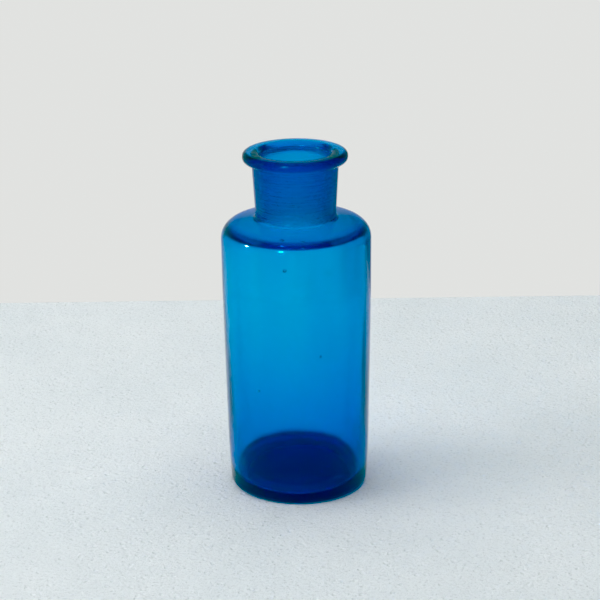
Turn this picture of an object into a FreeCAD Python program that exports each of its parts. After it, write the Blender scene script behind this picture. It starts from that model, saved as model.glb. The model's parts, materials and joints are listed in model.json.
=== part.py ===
# Wide-mouthed medicine bottle of blown glass, in millimetres.
# Origin at the centre of the ring it stands on, +Z up along the bottle's axis.
# Two pieces of glass: the blown bottle, and the ring laid over its neck's end to make the lip.
import FreeCAD, Part
import Sketcher
import math
import os

doc = FreeCAD.newDocument("MedicineBottle")

driving_sizes = [
    ("body_radius", 45.0, "outside of the body just under the shoulder, its widest place"),
    ("belly_draw", 0.35, "how much narrower than that the body is at belly_height"),
    ("belly_height", 116.0, "where the body starts to draw in downwards"),
    ("foot_draw", 2.1, "how much narrower the body is at foot_height"),
    ("foot_height", 26.0, "where the wall turns in towards the base"),
    ("base_draw", 3.5, "how much narrower the body is where its line meets the ground"),
    ("belly_blend", 1200.0, "long radius that blends the wall's straight runs at belly_height"),
    ("foot_blend", 600.0, "the same at foot_height"),
    ("heel_round", 4.3, "rounding between the wall and the ring it stands on"),
    ("ring_width", 9.5, "flat ring it stands on, measured inwards from the heel's corner"),
    ("push_up", 2.0, "rise of the shallow dome pressed into the underside"),
    ("base_glass", 11.0, "glass under the edge of the floor"),
    ("floor_crown", 1.0, "rise of the floor over that dome"),
    ("floor_flat", 10.0, "level part of the floor round its dome"),
    ("floor_round", 2.5, "rounding between the floor and the inside of the wall"),
    ("wall", 2.3, "glass of the body at belly_height, its thinnest place"),
    ("shoulder_wall", 3.2, "glass of the wall just under the shoulder"),
    ("foot_wall", 4.1, "glass of the wall where it meets the floor; it thickens evenly down to there"),
    ("shoulder_height", 165.5, "where the line of the wall meets the line of the shoulder"),
    ("shoulder_rise", 3.7, "climb of the shoulder from there to the neck"),
    ("shoulder_round", 11.0, "rounding of the shoulder's edge"),
    ("edge_glass", 6.6, "glass over the inside corner of the shoulder, measured upwards"),
    ("inner_shoulder_round", 4.3, "rounding of that inside corner"),
    ("break_inset", 11.5, "how far in from the body's outside the inside of the shoulder levels off"),
    ("break_glass", 4.8, "glass over that place, measured upwards"),
    ("break_round", 13.0, "rounding there"),
    ("throat_glass", 4.5, "glass over the corner where the shoulder opens into the neck"),
    ("root_round", 2.4, "hollow rounding where the neck leaves the shoulder"),
    ("throat_round", 4.0, "rounding inside, where the shoulder opens into the neck"),
    ("bore_radius", 20.0, "inside of the neck and mouth, where a stopper seats"),
    ("neck_glass", 3.9, "glass of the neck at its root"),
    ("neck_flare", 1.9, "how much wider outside the neck is under the lip than at its root"),
    ("neck_length", 33.8, "neck from its root to the underside of the lip"),
    ("lip_overhang", 5.5, "how far the lip stands out from the neck"),
    ("lip_thickness", 6.4, "height of the lip"),
    ("lip_seat_depth", 1.7, "how far the neck's end goes up into the lip"),
    ("lip_seat_gap", 0.0, "space between neck and lip: none, the two glasses are welded"),
    ("bead_round", 3.0, "rounding of the lip's outer edge, above and below"),
    ("mouth_round", 4.0, "rounding from the top of the lip down into the bore"),
    ("cut_past", 5.0, "how far the cavity's cutting shape runs past the neck's end"),
]

sizes = doc.addObject("Spreadsheet::Sheet", "Sizes")
for row, (alias, value, note) in enumerate(driving_sizes, start=1):
    sizes.set(f"A{row}", note)
    sizes.set(f"B{row}", str(value))
    sizes.setAlias(f"B{row}", alias)
doc.recompute()

# Places and fits that follow from the driving sizes, as formulas for the features below.
belly_radius = "(Sizes.body_radius - Sizes.belly_draw)"
foot_radius = "(Sizes.body_radius - Sizes.foot_draw)"
base_radius = "(Sizes.body_radius - Sizes.base_draw)"
neck_radius = "(Sizes.bore_radius + Sizes.neck_glass)"
neck_top_radius = f"({neck_radius} + Sizes.neck_flare)"
neck_root_height = "(Sizes.shoulder_height + Sizes.shoulder_rise)"
neck_top_height = f"({neck_root_height} + Sizes.neck_length)"
neck_end_height = f"({neck_top_height} + Sizes.lip_seat_depth)"

# The inside of the shoulder hangs below its outside, thickest in the corner over the wall.
shoulder_slope = f"(Sizes.shoulder_rise / (Sizes.body_radius - {neck_radius}))"
inner_shoulder_radius = "(Sizes.body_radius - Sizes.shoulder_wall)"
inner_shoulder_height = f"(Sizes.shoulder_height + Sizes.shoulder_wall * {shoulder_slope} - Sizes.edge_glass)"
break_radius = "(Sizes.body_radius - Sizes.break_inset)"
break_height = f"(Sizes.shoulder_height + Sizes.break_inset * {shoulder_slope} - Sizes.break_glass)"
throat_height = (f"(Sizes.shoulder_height + (Sizes.body_radius - Sizes.bore_radius) * {shoulder_slope}"
                 f" - Sizes.throat_glass)")

floor_radius = f"({base_radius} - Sizes.foot_wall)"
floor_dome_radius = f"({floor_radius} - Sizes.floor_flat)"

seat_radius = f"({neck_top_radius} + Sizes.lip_seat_gap)"
seat_height = "(Sizes.lip_seat_depth + Sizes.lip_seat_gap)"
lip_radius = f"({neck_top_radius} + Sizes.lip_overhang)"


def size_of(formula):
    """Value in millimetres of a formula over the sheet."""
    value = sizes.evalExpression(formula)
    return float(getattr(value, "Value", value))


def new_sketch(body, name):
    """Empty sketch on the body's own XZ plane: sketch X is the radius, sketch Y the height."""
    plane = next(item for item in body.Origin.OriginFeatures if item.Role == "XZ_Plane")
    sketch = body.newObject("Sketcher::SketchObject", name)
    sketch.AttachmentSupport = [(plane, "")]
    sketch.MapMode = "FlatFace"
    return sketch


def bind(sketch, constraint, name, formula):
    """Adds a named constraint whose value is the formula."""
    index = sketch.addConstraint(constraint)
    sketch.renameConstraint(index, name)
    sketch.setExpression(f"Constraints.{name}", formula)


def place_point(sketch, element, end, name, radius, height):
    """Holds a point at its radius and height; None puts it on the axis or at height zero."""
    if radius is None:
        sketch.addConstraint(Sketcher.Constraint("PointOnObject", element, end, -2))
    else:
        across = Sketcher.Constraint("DistanceX", -1, 1, element, end, size_of(radius))
        bind(sketch, across, f"{name}_radius", radius)
    if height is None:
        sketch.addConstraint(Sketcher.Constraint("PointOnObject", element, end, -1))
    else:
        up = Sketcher.Constraint("DistanceY", -1, 1, element, end, size_of(height))
        bind(sketch, up, f"{name}_height", height)


def nearest_end(sketch, element, point):
    """Which end of an element, 1 or 2, lies at a point."""
    first_gap = sketch.getPoint(element, 1).distanceToPoint(point)
    second_gap = sketch.getPoint(element, 2).distanceToPoint(point)
    return 1 if first_gap < second_gap else 2


def draw_outline(sketch, corners, crowned):
    """Closed outline through named corners, each (name, radius, height, rounding).

    A corner with a rounding gets an arc tangent to both its sides. With crowned set, the side
    from the first corner, on the axis, to the second is an arc centred on the axis: a dome.
    """
    points = []
    for name, radius, height, rounding in corners:
        across = 0.0 if radius is None else size_of(radius)
        up = 0.0 if height is None else size_of(height)
        points.append(FreeCAD.Vector(across, up, 0))
    count = len(corners)

    # Where each side leaves one corner and reaches the next, past their roundings.
    arrive = []
    leave = []
    for i, (name, radius, height, rounding) in enumerate(corners):
        back = (points[i - 1] - points[i]).normalize()
        ahead = (points[(i + 1) % count] - points[i]).normalize()
        reach = 0.0
        if rounding is not None:
            reach = size_of(rounding) / math.tan(back.getAngle(ahead) / 2)
        arrive.append(points[i] + back * reach)
        leave.append(points[i] + ahead * reach)

    sides = []
    for i in range(count):
        following = (i + 1) % count
        start = leave[i]
        end = arrive[following]
        if (end - start).dot(points[following] - points[i]) <= 0:
            raise RuntimeError(f"the roundings of {corners[i][0]} and {corners[following][0]} overlap")
        if crowned and i == 0:
            rise = start.y - end.y
            dome_radius = (end.x ** 2 + rise ** 2) / (2 * rise)
            centre = FreeCAD.Vector(0, start.y - dome_radius, 0)
            edge_angle = math.asin(end.x / dome_radius)
            circle = Part.Circle(centre, FreeCAD.Vector(0, 0, 1), dome_radius)
            dome = Part.ArcOfCircle(circle, math.pi / 2 - edge_angle, math.pi / 2)
            sides.append(sketch.addGeometry(dome))
            sketch.addConstraint(Sketcher.Constraint("PointOnObject", sides[0], 3, -2))
        else:
            sides.append(sketch.addGeometry(Part.LineSegment(start, end)))

    for i, (name, radius, height, rounding) in enumerate(corners):
        before = sides[i - 1]
        after = sides[i]
        before_end = nearest_end(sketch, before, arrive[i])
        after_end = nearest_end(sketch, after, leave[i])
        if rounding is None:
            sketch.addConstraint(Sketcher.Constraint("Coincident", before, before_end, after, after_end))
            place_point(sketch, after, after_end, name, radius, height)
            continue
        inwards = ((arrive[i] + leave[i]) * 0.5 - points[i]).normalize()
        arc_radius = size_of(rounding)
        half_angle = (arrive[i] - points[i]).getAngle(inwards)
        centre = points[i] + inwards * (arc_radius / math.sin(half_angle))
        middle = centre - inwards * arc_radius
        arc = sketch.addGeometry(Part.Arc(arrive[i], middle, leave[i]))
        corner = sketch.addGeometry(Part.Point(points[i]), True)
        place_point(sketch, corner, 1, name, radius, height)
        for side, side_end, touch in ((before, before_end, arrive[i]), (after, after_end, leave[i])):
            arc_end = nearest_end(sketch, arc, touch)
            sketch.addConstraint(Sketcher.Constraint("Tangent", side, side_end, arc, arc_end))
            sketch.addConstraint(Sketcher.Constraint("PointOnObject", corner, 1, side))
        bind(sketch, Sketcher.Constraint("Radius", arc, arc_radius), f"{name}_round", rounding)


def revolve(body, kind, name, corners, crowned=False):
    """Turns an outline full circle about the bottle's axis, adding glass or cutting it away."""
    sketch = new_sketch(body, f"{name}_outline")
    draw_outline(sketch, corners, crowned)
    doc.recompute()
    if not sketch.FullyConstrained:
        raise RuntimeError(f"the outline of {name} is not fully constrained")
    feature = body.newObject(kind, name)
    feature.Profile = sketch
    feature.ReferenceAxis = (sketch, ["V_Axis"])
    feature.Angle = 360
    doc.recompute()
    return feature


# ---- blown bottle: its outside turned as a solid, then the hollow cut out of it
bottle = doc.addObject("PartDesign::Body", "Bottle")
bottle.Label = "bottle_body"

outside = revolve(bottle, "PartDesign::Revolution", "outside", [
    ("push_up", None, "Sizes.push_up", None),
    ("ring", f"({base_radius} - Sizes.ring_width)", None, None),
    ("heel", base_radius, None, "Sizes.heel_round"),
    ("foot", foot_radius, "Sizes.foot_height", "Sizes.foot_blend"),
    ("belly", belly_radius, "Sizes.belly_height", "Sizes.belly_blend"),
    ("shoulder", "Sizes.body_radius", "Sizes.shoulder_height", "Sizes.shoulder_round"),
    ("root", neck_radius, neck_root_height, "Sizes.root_round"),
    ("neck_top", neck_top_radius, neck_top_height, None),
    ("neck_end", neck_top_radius, neck_end_height, None),
    ("axis_end", None, neck_end_height, None),
], crowned=True)
outside_volume = outside.Shape.Volume

cavity = revolve(bottle, "PartDesign::Groove", "cavity", [
    ("floor_crown", None, "(Sizes.base_glass + Sizes.floor_crown)", None),
    ("floor_dome", floor_dome_radius, "Sizes.base_glass", None),
    ("floor", floor_radius, "Sizes.base_glass", "Sizes.floor_round"),
    ("inner_belly", f"({belly_radius} - Sizes.wall)", "Sizes.belly_height", "Sizes.belly_blend"),
    ("inner_shoulder", inner_shoulder_radius, inner_shoulder_height, "Sizes.inner_shoulder_round"),
    ("shoulder_break", break_radius, break_height, "Sizes.break_round"),
    ("throat", "Sizes.bore_radius", throat_height, "Sizes.throat_round"),
    ("cut_top", "Sizes.bore_radius", f"({neck_end_height} + Sizes.cut_past)", None),
    ("axis_top", None, f"({neck_end_height} + Sizes.cut_past)", None),
], crowned=True)
if cavity.Shape.Volume >= outside_volume:
    raise RuntimeError("the cavity removed no glass")

# ---- lip: a ring with a rounded bead outside, seated over the neck's end
lip = doc.addObject("PartDesign::Body", "Lip")
lip.Label = "applied_lip"

revolve(lip, "PartDesign::Revolution", "ring", [
    ("seat_inside", "Sizes.bore_radius", seat_height, None),
    ("mouth", "Sizes.bore_radius", "Sizes.lip_thickness", "Sizes.mouth_round"),
    ("bead_top", lip_radius, "Sizes.lip_thickness", "Sizes.bead_round"),
    ("bead_under", lip_radius, None, "Sizes.bead_round"),
    ("seat_under", seat_radius, None, None),
    ("seat_outside", seat_radius, seat_height, None),
])
lip.setExpression("Placement.Base.z", neck_top_height)
doc.recompute()

for item in doc.Objects:
    if "Invalid" in item.State or "Error" in item.State:
        raise RuntimeError(f"{item.Name} failed: {item.State}")

os.makedirs("parts", exist_ok=True)
for body in (bottle, lip):
    shape = body.Shape
    if shape.isNull() or not shape.isValid() or len(shape.Solids) != 1:
        raise RuntimeError(f"{body.Label} is not one valid solid")
    shape.exportStep(f"parts/{body.Label}.step")
    box = shape.optimalBoundingBox()
    print(f"{body.Label}: radius {box.XMax:.2f}, height {box.ZMin:.2f} to {box.ZMax:.2f} mm,"
          f" glass {shape.Volume / 1000:.1f} ml")
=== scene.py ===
import json
import math
import bmesh
import bpy
from mathutils import Matrix, Vector, noise


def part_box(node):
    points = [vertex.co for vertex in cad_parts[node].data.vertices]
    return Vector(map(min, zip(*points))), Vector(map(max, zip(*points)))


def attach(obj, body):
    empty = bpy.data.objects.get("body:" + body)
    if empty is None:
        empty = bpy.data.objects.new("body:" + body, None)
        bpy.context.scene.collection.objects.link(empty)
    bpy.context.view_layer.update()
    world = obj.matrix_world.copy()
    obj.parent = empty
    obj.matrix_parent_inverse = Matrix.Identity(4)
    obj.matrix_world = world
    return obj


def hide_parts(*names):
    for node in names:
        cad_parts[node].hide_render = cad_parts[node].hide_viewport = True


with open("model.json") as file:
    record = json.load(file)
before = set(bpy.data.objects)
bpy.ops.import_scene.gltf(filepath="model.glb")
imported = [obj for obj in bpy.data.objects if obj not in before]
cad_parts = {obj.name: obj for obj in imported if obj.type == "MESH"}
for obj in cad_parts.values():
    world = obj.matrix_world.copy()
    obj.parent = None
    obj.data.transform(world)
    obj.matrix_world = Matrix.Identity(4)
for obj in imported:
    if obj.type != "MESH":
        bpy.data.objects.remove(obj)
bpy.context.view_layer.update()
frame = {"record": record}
print("frame loaded")

scene = bpy.context.scene
lipLow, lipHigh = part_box("applied_lip")
bodyLow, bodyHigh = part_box("bottle_body")
neckBore = next(m for m in frame["record"]["mounts"] if m["name"] == "neck_bore")


# node helpers

def newMaterial(name):
    material = bpy.data.materials.new(name)
    material.use_nodes = True
    material.node_tree.nodes.clear()
    return material, material.node_tree


def addNode(tree, kind, **values):
    node = tree.nodes.new(kind)
    for key, value in values.items():
        socket = node.inputs.get(key.replace("_", " ")) if not hasattr(node, key) else None
        if socket is None:
            setattr(node, key, value)
        else:
            socket.default_value = value
    return node


def addRamp(tree, factor, stops):
    ramp = tree.nodes.new("ShaderNodeValToRGB")
    tree.links.new(factor, ramp.inputs["Fac"])
    while len(ramp.color_ramp.elements) < len(stops):
        ramp.color_ramp.elements.new(0.5)
    for element, (place, shade) in zip(ramp.color_ramp.elements, stops):
        element.position = place
        element.color = (*shade, 1) if hasattr(shade, "__len__") else (shade, shade, shade, 1)
    return ramp.outputs["Color"]


# blue glass

blueGlass = {
    "absorbed": (900.0, 154.0, 34.0),     # how fast the glass takes in red, green and blue, per metre
    "reflectTint": (0.0, 0.18, 0.26),     # cast of what the surface mirrors straight on
    "ior": 1.5,
    "polished": 0.12,                     # roughness of the fire-polished skin
    "ground": 0.5,                        # roughness of the ground bore and underside
    "boreTone": (0.7, 0.76, 0.92),        # what the ground bore lets through
    "ringDepth": 0.0007,                  # height of the tooling marks
    "ringScale": (40.0, 40.0, 800.0),     # many marks up the bottle, few round it
    "ringDetail": 4.0, "ringRoughness": 0.65,
}


def makeGlassMaterial(look):
    material, tree = newMaterial("blueGlass")
    links = tree.links
    output = addNode(tree, "ShaderNodeOutputMaterial")
    shader = addNode(tree, "ShaderNodeBsdfPrincipled")
    shader.inputs["Transmission Weight"].default_value = 1.0
    shader.inputs["IOR"].default_value = look["ior"]
    shader.inputs["Specular Tint"].default_value = (*look["reflectTint"], 1)
    # the ground bore and underside are matt, all the rest is fire-polished
    groundShare = addNode(tree, "ShaderNodeAttribute", attribute_name="groundShare")
    roughness = addNode(tree, "ShaderNodeMapRange")
    roughness.inputs["To Min"].default_value = look["polished"]
    roughness.inputs["To Max"].default_value = look["ground"]
    links.new(groundShare.outputs["Fac"], roughness.inputs["Value"])
    links.new(roughness.outputs["Result"], shader.inputs["Roughness"])
    boreShare = addNode(tree, "ShaderNodeAttribute", attribute_name="boreShare")
    links.new(addRamp(tree, boreShare.outputs["Fac"], [(0.0, 1.0), (1.0, look["boreTone"])]),
              shader.inputs["Base Color"])
    # fine rings left by the tool round the neck and by grinding in the bore
    toolShare = addNode(tree, "ShaderNodeAttribute", attribute_name="toolShare")
    where = addNode(tree, "ShaderNodeTexCoord")
    squash = addNode(tree, "ShaderNodeMapping")
    squash.inputs["Scale"].default_value = look["ringScale"]
    links.new(where.outputs["Object"], squash.inputs["Vector"])
    rings = addNode(tree, "ShaderNodeTexNoise", Scale=1.0, Detail=look["ringDetail"],
                    Roughness=look["ringRoughness"])
    links.new(squash.outputs["Vector"], rings.inputs["Vector"])
    depth = addNode(tree, "ShaderNodeMath", operation="MULTIPLY")
    links.new(rings.outputs["Fac"], depth.inputs[0])
    links.new(toolShare.outputs["Fac"], depth.inputs[1])
    bump = addNode(tree, "ShaderNodeBump", Strength=1.0, Distance=look["ringDepth"])
    links.new(depth.outputs["Value"], bump.inputs["Height"])
    links.new(bump.outputs["Normal"], shader.inputs["Normal"])
    densest = max(look["absorbed"])
    absorb = addNode(tree, "ShaderNodeVolumeAbsorption")
    absorb.inputs["Color"].default_value = (*[1 - a / densest for a in look["absorbed"]], 1)
    absorb.inputs["Density"].default_value = densest
    links.new(shader.outputs["BSDF"], output.inputs["Surface"])
    links.new(absorb.outputs["Volume"], output.inputs["Volume"])
    return material


# bottle, one skin of glass turned round its axis, lengths in metres

bottleShape = {
    "segments": 208,
    "bodyRadius": bodyHigh.x,
    "bellyDraw": 0.00035, "bellyHeight": 0.116, "bellyRound": 1.2,
    "footDraw": 0.0021, "footHeight": 0.026, "footRound": 0.6,
    "baseDraw": 0.0035, "heelRound": 0.0043,
    "ringHeight": 0.0, "underLift": 0.0001, "ringWidth": 0.0095, "pushUp": 0.0020,
    "floorLean": 0.15, "leanTop": 0.040,
    "baseGlass": 0.0110, "floorCrown": 0.0010, "floorFlat": 0.010, "floorRound": 0.0025,
    "wall": 0.0023, "shoulderWall": 0.0032, "footWall": 0.0041,
    "shoulderHeight": 0.1655, "shoulderRise": 0.0037, "shoulderRound": 0.011,
    "edgeGlass": 0.0066, "throatGlass": 0.0045, "innerShoulderRound": 0.0043,
    "breakRadius": 0.0335, "breakGlass": 0.0048, "breakRound": 0.013,
    "rootRound": 0.0024, "throatRound": 0.004,
    "boreRadius": neckBore["dims"]["r_mm"] / 1000, "neckGlass": 0.0039, "neckFlare": 0.0019,
    "lipUnder": lipLow.z, "lipTop": lipHigh.z, "lipRadius": lipHigh.x,
    "beadRound": 0.003, "mouthRound": 0.004,
    "underLipRound": 0.0006,
    # unevenness of the hand-worked glass: waves in the wall, and an inside that is off centre
    "innerWave": 0.00036, "outerWave": 0.00006, "streaks": 6.0,
    "wallLow": 0.028, "wallWavy": 0.06, "wallCalm": 0.155,
    "wallShift": -0.0003, "shiftReach": 0.02, "shiftCalm": 0.14, "shiftHigh": 0.165,
    # bubbles: turn in degrees, reach from the axis, height and half-sizes
    "seeds": [
        (-99, 0.0434, 0.1490, (0.0007, 0.0011, 0.0009)),
        (-103, 0.0360, 0.1638, (0.0008, 0.0014, 0.0006)),
        (-84, 0.0372, 0.1636, (0.0006, 0.0010, 0.0006)),
        (-72, 0.0434, 0.0952, (0.0005, 0.0006, 0.0009)),
        (-122, 0.0433, 0.0722, (0.0005, 0.0006, 0.0008)),
        (64, 0.0434, 0.1210, (0.0005, 0.0007, 0.0009)),
        (150, 0.0434, 0.0870, (0.0005, 0.0006, 0.0010)),
        (-20, 0.0434, 0.1080, (0.0005, 0.0007, 0.0008)),
    ],
    "tooling": 0.35, "toolLow": 0.172, "toolHigh": 0.196,
}


def roundedOutline(corners, longest=0.0015, arcStep=math.radians(7)):
    # corners are (radius, height, rounding); the ends are kept, each corner between them is rounded
    points = [Vector((r, z)) for r, z, _ in corners]
    line = [points[0].copy()]

    def runTo(goal):
        start = line[-1].copy()
        steps = max(1, math.ceil((goal - start).length / longest))
        for i in range(1, steps + 1):
            line.append(start.lerp(goal, i / steps))

    for i in range(1, len(points) - 1):
        corner, rounding = points[i], corners[i][2]
        if not rounding:
            runTo(corner)
            continue
        back = (points[i - 1] - corner).normalized()
        ahead = (points[i + 1] - corner).normalized()
        half = back.angle(ahead) / 2
        reach = rounding / math.tan(half)
        runTo(corner + back * reach)
        centre = corner + (back + ahead).normalized() * (rounding / math.sin(half))
        spoke = line[-1] - centre
        turn = math.pi - 2 * half
        side = 1 if back.x * ahead.y - back.y * ahead.x < 0 else -1
        steps = max(2, math.ceil(turn / arcStep), math.ceil(turn * rounding / longest))
        for k in range(1, steps + 1):
            a = side * turn * k / steps
            line.append(centre + Vector((spoke.x * math.cos(a) - spoke.y * math.sin(a),
                                         spoke.x * math.sin(a) + spoke.y * math.cos(a))))
    runTo(points[-1])
    return line


def domeLine(rise, edgeRadius, edgeHeight, steps=14):
    # shallow dome, from its crown on the axis to its edge
    bend = (edgeRadius ** 2 + rise ** 2) / (2 * rise)
    line = []
    for i in range(steps + 1):
        r = edgeRadius * i / steps
        line.append(Vector((r, edgeHeight + rise - bend + math.sqrt(bend ** 2 - r ** 2))))
    return line


def bottleOutline(s):
    baseRadius = s["bodyRadius"] - s["baseDraw"]
    neckRadius = s["boreRadius"] + s["neckGlass"]
    neckTopRadius = neckRadius + s["neckFlare"]
    ringInside = baseRadius - s["ringWidth"]
    outside = domeLine(s["pushUp"], ringInside, s["underLift"])
    outside += roundedOutline([
        (ringInside, s["underLift"], 0),
        (ringInside + 0.0002, s["ringHeight"], 0),
        (baseRadius, s["ringHeight"], s["heelRound"]),
        (s["bodyRadius"] - s["footDraw"], s["footHeight"], s["footRound"]),
        (s["bodyRadius"] - s["bellyDraw"], s["bellyHeight"], s["bellyRound"]),
        (s["bodyRadius"], s["shoulderHeight"], s["shoulderRound"]),
        (neckRadius, s["shoulderHeight"] + s["shoulderRise"], s["rootRound"]),
        (neckTopRadius, s["lipUnder"], s["underLipRound"]),
        (s["lipRadius"], s["lipUnder"], s["beadRound"]),
        (s["lipRadius"], s["lipTop"], s["beadRound"]),
        ((s["lipRadius"] + s["boreRadius"]) / 2, s["lipTop"], 0),
    ])[1:]
    slope = s["shoulderRise"] / (s["bodyRadius"] - neckRadius)

    def underShoulder(radius, glass):
        # height of the inside, with so much glass above it, at a radius
        return s["shoulderHeight"] + (s["bodyRadius"] - radius) * slope - glass

    shoulderInside = s["bodyRadius"] - s["shoulderWall"]
    floorRadius = baseRadius - s["footWall"]
    floorDome = floorRadius - s["floorFlat"]
    inside = roundedOutline([
        ((s["lipRadius"] + s["boreRadius"]) / 2, s["lipTop"], 0),
        (s["boreRadius"], s["lipTop"], s["mouthRound"]),
        (s["boreRadius"], underShoulder(s["boreRadius"], s["throatGlass"]), s["throatRound"]),
        (s["breakRadius"], underShoulder(s["breakRadius"], s["breakGlass"]), s["breakRound"]),
        (shoulderInside, underShoulder(shoulderInside, s["edgeGlass"]), s["innerShoulderRound"]),
        (s["bodyRadius"] - s["bellyDraw"] - s["wall"], s["bellyHeight"], s["bellyRound"]),
        (floorRadius, s["baseGlass"], s["floorRound"]),
        (floorDome, s["baseGlass"], 0),
    ])[1:]
    floor = domeLine(s["floorCrown"], floorDome, s["baseGlass"])
    return outside, inside + floor[::-1][1:]


def smoothStep(low, high, value):
    t = max(0, min(1, (value - low) / (high - low)))
    return t * t * (3 - 2 * t)


def streak(angle, z, streaks, seed):
    # slow waves along the glass, closer together round it
    x, y = math.cos(angle) * streaks, math.sin(angle) * streaks
    wide = noise.noise(Vector((x * 0.4, y * 0.4, z * 9 + seed)))
    fine = noise.noise(Vector((x, y, z * 16 + seed * 2)))
    return wide + 0.5 * fine


def addSeed(build, place, size, turn, rings=8, spokes=12):
    # a bubble shut in the glass
    made = bmesh.ops.create_uvsphere(build, u_segments=spokes, v_segments=rings, radius=1.0)
    squash = Matrix.Translation(place) @ Matrix.Rotation(turn, 4, "Z") @ Matrix.Diagonal((*size, 1))
    bmesh.ops.transform(build, matrix=squash, verts=made["verts"])
    faces = list(dict.fromkeys(f for v in made["verts"] for f in v.link_faces))
    bmesh.ops.reverse_faces(build, faces=faces)
    for face in faces:
        face.smooth = True


def turnBottle(s):
    outside, inside = bottleOutline(s)
    outline = outside + inside
    ringInside = s["bodyRadius"] - s["baseDraw"] - s["ringWidth"]
    mesh = bpy.data.meshes.new("glassBottle")
    build = bmesh.new()
    ground = build.verts.layers.float.new("groundShare")
    bore = build.verts.layers.float.new("boreShare")
    tooled = build.verts.layers.float.new("toolShare")
    rings = []
    for i, point in enumerate(outline):
        isInside = i >= len(outside)
        steps = 1 if i in (0, len(outline) - 1) else s["segments"]
        ring = []
        for k in range(steps):
            angle = 2 * math.pi * k / s["segments"]
            reach, z = point.x, point.y
            if s["wallLow"] < z < s["shoulderHeight"]:
                fade = (smoothStep(s["wallLow"], s["wallWavy"], z)
                        * (1 - smoothStep(s["wallCalm"], s["shoulderHeight"], z)))
                drift = streak(angle, z, s["streaks"], 3 if isInside else 9)
                # the outside only dips, to stay within the turned shape
                reach += fade * (s["innerWave"] * drift if isInside else -s["outerWave"] * abs(drift))
            x, y = reach * math.cos(angle), reach * math.sin(angle)
            if isInside:
                x += (s["wallShift"] * smoothStep(0.0, s["shiftReach"], reach)
                      * (1 - smoothStep(s["shiftCalm"], s["shiftHigh"], z)))
                # the floor leans, thicker at the back
                lean = max(0, min(1, (s["leanTop"] - z) / (s["leanTop"] - s["baseGlass"])))
                z += y * s["floorLean"] * lean
            vert = build.verts.new((x, y, z))
            inBore = isInside and point.x < s["boreRadius"] + 0.0002 and point.y > s["shoulderHeight"]
            isUnder = not isInside and point.x < ringInside and point.y < s["pushUp"] + s["underLift"]
            vert[ground] = 1.0 if inBore or isUnder else 0.0
            vert[bore] = 1.0 if inBore else 0.0
            vert[tooled] = 1.0 if inBore else s["tooling"] * smoothStep(s["toolLow"], s["toolHigh"], point.y)
            ring.append(vert)
        rings.append(ring)
    for lower, upper in zip(rings, rings[1:]):
        for k in range(s["segments"]):
            nextK = (k + 1) % s["segments"]
            corners = [lower[k % len(lower)], lower[nextK % len(lower)],
                       upper[nextK % len(upper)], upper[k % len(upper)]]
            corners = list(dict.fromkeys(corners))
            build.faces.new(corners).smooth = True
    for turn, reach, z, size in s["seeds"]:
        angle = math.radians(turn)
        addSeed(build, (reach * math.cos(angle), reach * math.sin(angle), z), size, angle)
    build.to_mesh(mesh)
    build.free()
    bottle = bpy.data.objects.new("glassBottle", mesh)
    scene.collection.objects.link(bottle)
    mesh.materials.append(makeGlassMaterial(blueGlass))
    print("bottle turned,", len(mesh.polygons), "faces")
    return bottle


bottle = turnBottle(bottleShape)
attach(bottle, "root")
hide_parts("bottle_body", "applied_lip")


# plain pale tabletop

tableTop = {
    "width": 3.2, "back": 0.342, "front": -1.9,
    "top": 0.00005,                       # a hair over the standing ring, so no light leaks under it
    "paint": (0.85, 0.90, 0.91), "paintDark": (0.79, 0.85, 0.868),
    "roughness": 0.75, "gloss": 0.25,
    # textures, as repeats per metre
    "clouds": 9.0, "dust": 520.0, "speck": 0.66,
    "grain": 330.0, "pits": 150.0, "relief": 0.0016, "reliefShare": 0.8,
}


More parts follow.
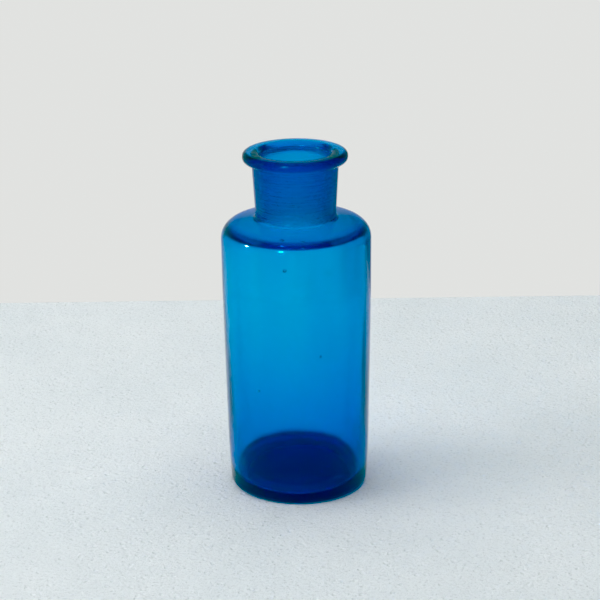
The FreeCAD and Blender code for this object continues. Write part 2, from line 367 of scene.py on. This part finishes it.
def makeTable(t):
    mesh = bpy.data.meshes.new("tableTop")
    half = t["width"] / 2
    corners = [(-half, t["front"]), (half, t["front"]), (half, t["back"]), (-half, t["back"])]
    mesh.from_pydata([(x, y, t["top"]) for x, y in corners], [], [(0, 1, 2, 3)])
    table = bpy.data.objects.new("tableTop", mesh)
    scene.collection.objects.link(table)
    material, tree = newMaterial("tablePlaster")
    links = tree.links
    output = addNode(tree, "ShaderNodeOutputMaterial")
    shader = addNode(tree, "ShaderNodeBsdfPrincipled")
    shader.inputs["Roughness"].default_value = t["roughness"]
    shader.inputs["Specular IOR Level"].default_value = t["gloss"]
    where = addNode(tree, "ShaderNodeTexCoord")
    cloudy = addNode(tree, "ShaderNodeTexNoise", Scale=t["clouds"], Detail=6.0, Roughness=0.62)
    links.new(where.outputs["Object"], cloudy.inputs["Vector"])
    paint = addRamp(tree, cloudy.outputs["Fac"], [(0.32, t["paintDark"]), (0.68, t["paint"])])
    dust = addNode(tree, "ShaderNodeTexNoise", Scale=t["dust"], Detail=4.0, Roughness=0.7)
    links.new(where.outputs["Object"], dust.inputs["Vector"])
    speckled = addNode(tree, "ShaderNodeVectorMath", operation="MULTIPLY")
    links.new(paint, speckled.inputs[0])
    links.new(addRamp(tree, dust.outputs["Fac"], [(0.30, t["speck"]), (0.44, 1.0)]), speckled.inputs[1])
    links.new(speckled.outputs["Vector"], shader.inputs["Base Color"])
    # trowelled grain with small pits in it
    grain = addNode(tree, "ShaderNodeTexNoise", Scale=t["grain"], Detail=6.0, Roughness=0.68, Distortion=0.6)
    links.new(where.outputs["Object"], grain.inputs["Vector"])
    pits = addNode(tree, "ShaderNodeTexVoronoi", Scale=t["pits"], Randomness=1.0)
    links.new(where.outputs["Object"], pits.inputs["Vector"])
    pitDepth = addRamp(tree, pits.outputs["Distance"], [(0.0, 0.0), (0.16, 0.25), (0.24, 1.0)])
    relief = addNode(tree, "ShaderNodeMath", operation="MULTIPLY")
    links.new(grain.outputs["Fac"], relief.inputs[0])
    links.new(pitDepth, relief.inputs[1])
    bump = addNode(tree, "ShaderNodeBump", Strength=t["reliefShare"], Distance=t["relief"])
    links.new(relief.outputs["Value"], bump.inputs["Height"])
    links.new(bump.outputs["Normal"], shader.inputs["Normal"])
    links.new(shader.outputs["BSDF"], output.inputs["Surface"])
    mesh.materials.append(material)
    return table


table = makeTable(tableTop)


# soft studio light: a pale surround, brighter on the left, and soft boxes

surround = {
    "backdrop": (0.760, 0.762, 0.748),    # the plain wall that is seen
    "tone": (0.97, 1.0, 1.03),            # cast of what lights the bottle
    # brightness of what lights the bottle, by turn in degrees from straight behind it, left negative
    "turns": [(-180, 0.34), (-120, 0.42), (-75, 0.85), (-30, 0.76), (-6, 0.76), (0, 0.75), (7, 0.64),
              (22, 0.44), (60, 0.30), (120, 0.28), (180, 0.32)],
    # and its share by height, as the sine of the angle above the horizon
    "heights": [(-1.0, 1.0), (0.2, 1.0), (0.42, 0.6), (0.8, 0.3), (1.0, 0.3)],
    "mirrored": 0.7,                      # share of it that the glass mirrors
}


def makeSurround(w):
    world = bpy.data.worlds.new("paleSurround")
    scene.world = world
    world.use_nodes = True
    tree = world.node_tree
    tree.nodes.clear()
    links = tree.links
    output = addNode(tree, "ShaderNodeOutputWorld")
    where = addNode(tree, "ShaderNodeTexCoord")
    split = addNode(tree, "ShaderNodeSeparateXYZ")
    links.new(where.outputs["Generated"], split.inputs["Vector"])
    turn = addNode(tree, "ShaderNodeMath", operation="ARCTAN2")
    links.new(split.outputs["X"], turn.inputs[0])
    links.new(split.outputs["Y"], turn.inputs[1])
    around = addNode(tree, "ShaderNodeMapRange")
    around.inputs["From Min"].default_value = -math.pi
    around.inputs["From Max"].default_value = math.pi
    links.new(turn.outputs["Value"], around.inputs["Value"])
    byTurn = addRamp(tree, around.outputs["Result"],
                     [((a + 180) / 360, [v * c for c in w["tone"]]) for a, v in w["turns"]])
    upward = addNode(tree, "ShaderNodeMapRange")
    upward.inputs["From Min"].default_value = -1
    links.new(split.outputs["Z"], upward.inputs["Value"])
    byHeight = addRamp(tree, upward.outputs["Result"], [((z + 1) / 2, v) for z, v in w["heights"]])
    shade = addNode(tree, "ShaderNodeVectorMath", operation="MULTIPLY")
    links.new(byTurn, shade.inputs[0])
    links.new(byHeight, shade.inputs[1])
    path = addNode(tree, "ShaderNodeLightPath")
    mirrored = addNode(tree, "ShaderNodeMath", operation="MULTIPLY")
    links.new(path.outputs["Is Glossy Ray"], mirrored.inputs[0])
    links.new(path.outputs["Is Reflection Ray"], mirrored.inputs[1])
    dim = addNode(tree, "ShaderNodeMapRange")
    dim.inputs["To Min"].default_value = 1.0
    dim.inputs["To Max"].default_value = w["mirrored"]
    links.new(mirrored.outputs["Value"], dim.inputs["Value"])
    lit = addNode(tree, "ShaderNodeBackground")
    links.new(shade.outputs["Vector"], lit.inputs["Color"])
    links.new(dim.outputs["Result"], lit.inputs["Strength"])
    wall = addNode(tree, "ShaderNodeBackground")
    wall.inputs["Color"].default_value = (*w["backdrop"], 1)
    pick = addNode(tree, "ShaderNodeMixShader")
    links.new(path.outputs["Is Camera Ray"], pick.inputs["Fac"])
    links.new(lit.outputs["Background"], pick.inputs[1])
    links.new(wall.outputs["Background"], pick.inputs[2])
    links.new(pick.outputs["Shader"], output.inputs["Surface"])


makeSurround(surround)

# the glints are small lamps that only show as highlights on the glass
softBoxes = {
    "leftBox": {"turn": -80, "height": 36, "away": 1.9, "size": (1.2, 1.2), "power": 13.0},
    "topBox": {"turn": 180, "height": 86, "away": 2.2, "size": (2.4, 2.4), "power": 40.0},
    "leftGlint": {"turn": -84, "height": 22, "away": 1.4, "size": (0.06, 0.05), "power": 14.0, "glint": True},
    "nearGlint": {"turn": -24, "height": 27, "away": 1.4, "size": (0.06, 0.05), "power": 26.0, "glint": True},
}

lampAim = 0.12                            # height that the lamps face, past the middle of the bottle


def addSoftBox(name, box):
    # turn is measured from the camera's side, left negative
    light = bpy.data.lights.new(name, "AREA")
    light.shape = "RECTANGLE"
    light.size, light.size_y = box["size"]
    light.energy = box["power"]
    lamp = bpy.data.objects.new(name, light)
    scene.collection.objects.link(lamp)
    turn, height = math.radians(box["turn"]), math.radians(box["height"])
    ray = Vector((math.sin(turn) * math.cos(height), -math.cos(turn) * math.cos(height), math.sin(height)))
    lamp.location = ray * box["away"] + Vector((0, 0, lampAim))
    lamp.rotation_mode = "QUATERNION"
    lamp.rotation_quaternion = ray.to_track_quat("Z", "Y")
    if box.get("glint"):
        lamp.visible_diffuse = False
    else:
        lamp.visible_glossy = False
    return lamp


for name, box in softBoxes.items():
    addSoftBox(name, box)
print("lights placed")


# camera

cameraView = {
    "elevation": 19.562, "distance": 1.2929, "centreHeight": 0.1,
    "lookDown": 18.876, "pan": 0.088, "roll": -0.706, "lens": 128.15,
}


def placeCamera(v):
    camera = bpy.data.objects.new("camera", bpy.data.cameras.new("camera"))
    scene.collection.objects.link(camera)
    camera.data.lens = v["lens"]
    up, down, pan, roll = [math.radians(v[k]) for k in ("elevation", "lookDown", "pan", "roll")]
    place = Vector((0, -math.cos(up), math.sin(up))) * v["distance"] + Vector((0, 0, v["centreHeight"]))
    ahead = Vector((math.sin(pan) * math.cos(down), math.cos(pan) * math.cos(down), -math.sin(down)))
    right = ahead.cross(Vector((0, 0, 1))).normalized()
    upward = right.cross(ahead)
    turned = right * math.cos(roll) + upward * math.sin(roll)
    tilted = upward * math.cos(roll) - right * math.sin(roll)
    axes = Matrix((turned, tilted, -ahead)).transposed().to_4x4()
    camera.matrix_world = Matrix.Translation(place) @ axes
    scene.camera = camera


placeCamera(cameraView)


# picture: a curve takes weak reds to nothing, for a purer blue than the glass alone gives

scene.view_settings.view_transform = "Standard"
scene.view_settings.use_curve_mapping = True
redFall = [(0.0, 0.0), (0.095, 0.0), (0.24, 0.22), (1.0, 1.0)]
redCurve = scene.view_settings.curve_mapping.curves[0]
for place, value in redFall[1:-1]:
    redCurve.points.new(place, value)
for point, (place, value) in zip(redCurve.points, redFall):
    point.location = (place, value)
    point.handle_type = "VECTOR"
scene.view_settings.curve_mapping.update()

# enough bounces for light that crosses several thicknesses of glass
scene.cycles.max_bounces = 24
scene.cycles.transmission_bounces = 24
scene.cycles.glossy_bounces = 12
scene.cycles.diffuse_bounces = 6
scene.cycles.transparent_max_bounces = 12
scene.cycles.use_denoising = True
